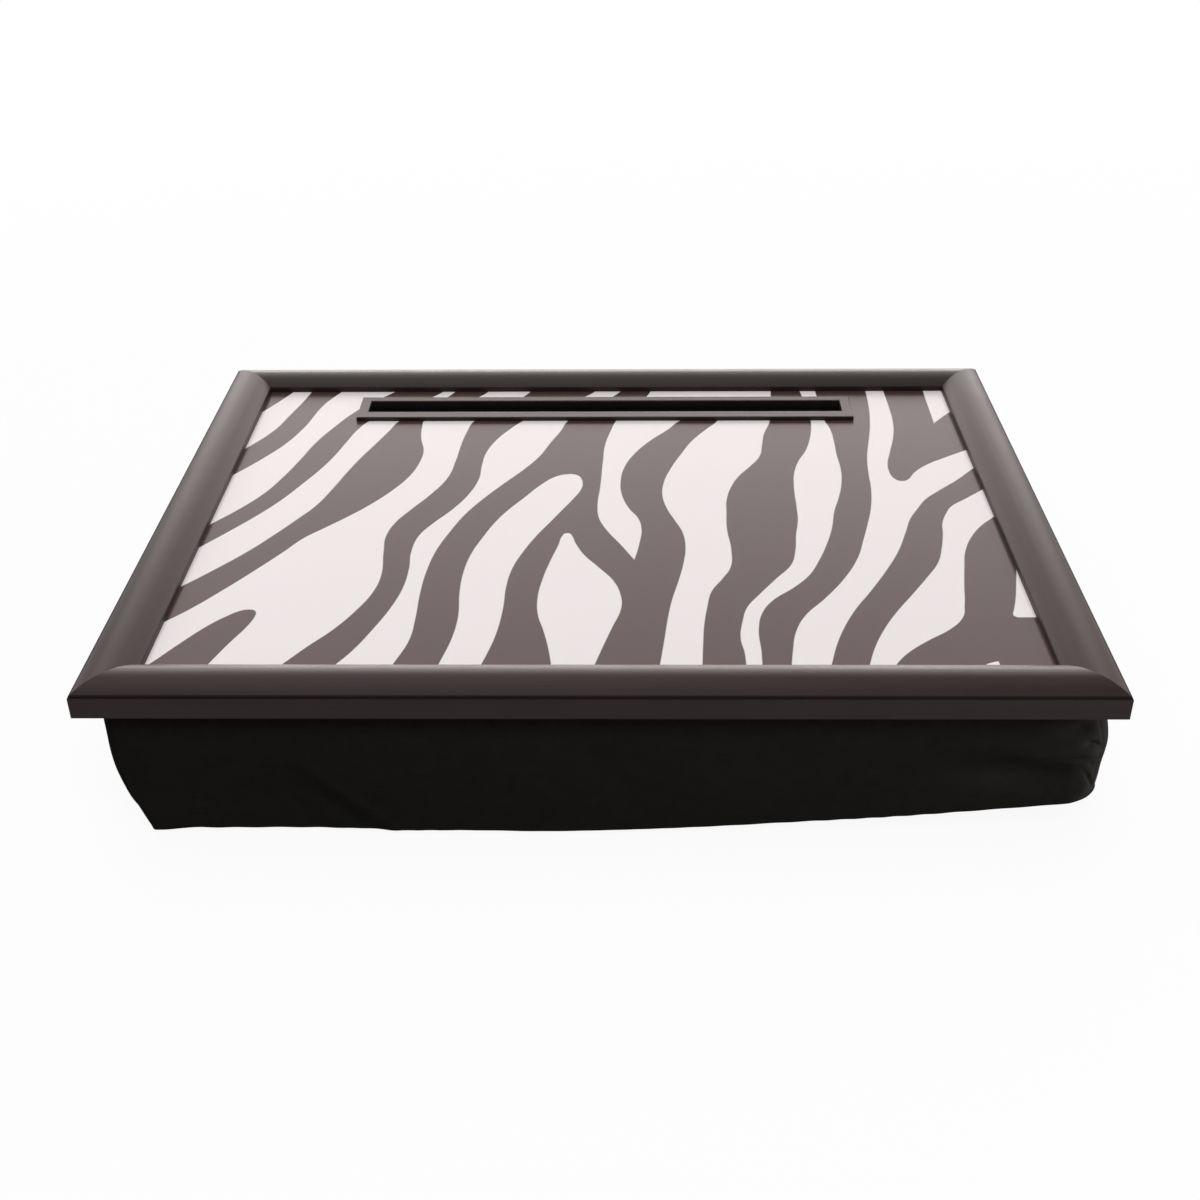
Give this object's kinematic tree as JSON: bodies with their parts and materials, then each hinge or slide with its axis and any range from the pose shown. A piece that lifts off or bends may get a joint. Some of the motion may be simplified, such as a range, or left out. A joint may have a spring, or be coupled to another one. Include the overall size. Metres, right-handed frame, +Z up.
{
  "type": "lap tray",
  "caption": "Rectangular lap tray with a mitred dark frame, zebra-striped panel, raised tablet slot at the back and a black bead-filled cushion underneath.",
  "frame": {"origin": "on the resting surface, under the middle of the tray", "axes": "+X to the right along the long side, +Y to the back where the slot is, +Z up"},
  "size_m": [0.43, 0.33, 0.0795],
  "materials": {
    "rail_finish": "dark satin foil over a wooden moulding",
    "panel_board": "raw fibreboard",
    "print": "white satin laminate with dark stripes",
    "slot_moulding": "satin moulded plastic",
    "cover_cloth": "black woven cotton",
    "lining_cloth": "black lining cloth",
    "beads": "loose white beads",
    "fastener_steel": "bright wire and sheet"
  },
  "bodies": {
    "root": {"front_rail": "rail_finish", "rear_rail": "rail_finish", "left_rail": "rail_finish", "right_rail": "rail_finish", "tray_panel": "panel_board", "printed_film": "print", "tablet_slot": "slot_moulding", "cushion_cover": "cover_cloth", "cushion_top_cloth": "lining_cloth", "bead_fill": "beads", "corner_nails": "fastener_steel", "panel_points": "fastener_steel", "hem_staples": "fastener_steel"}
  },
  "joints": []
}
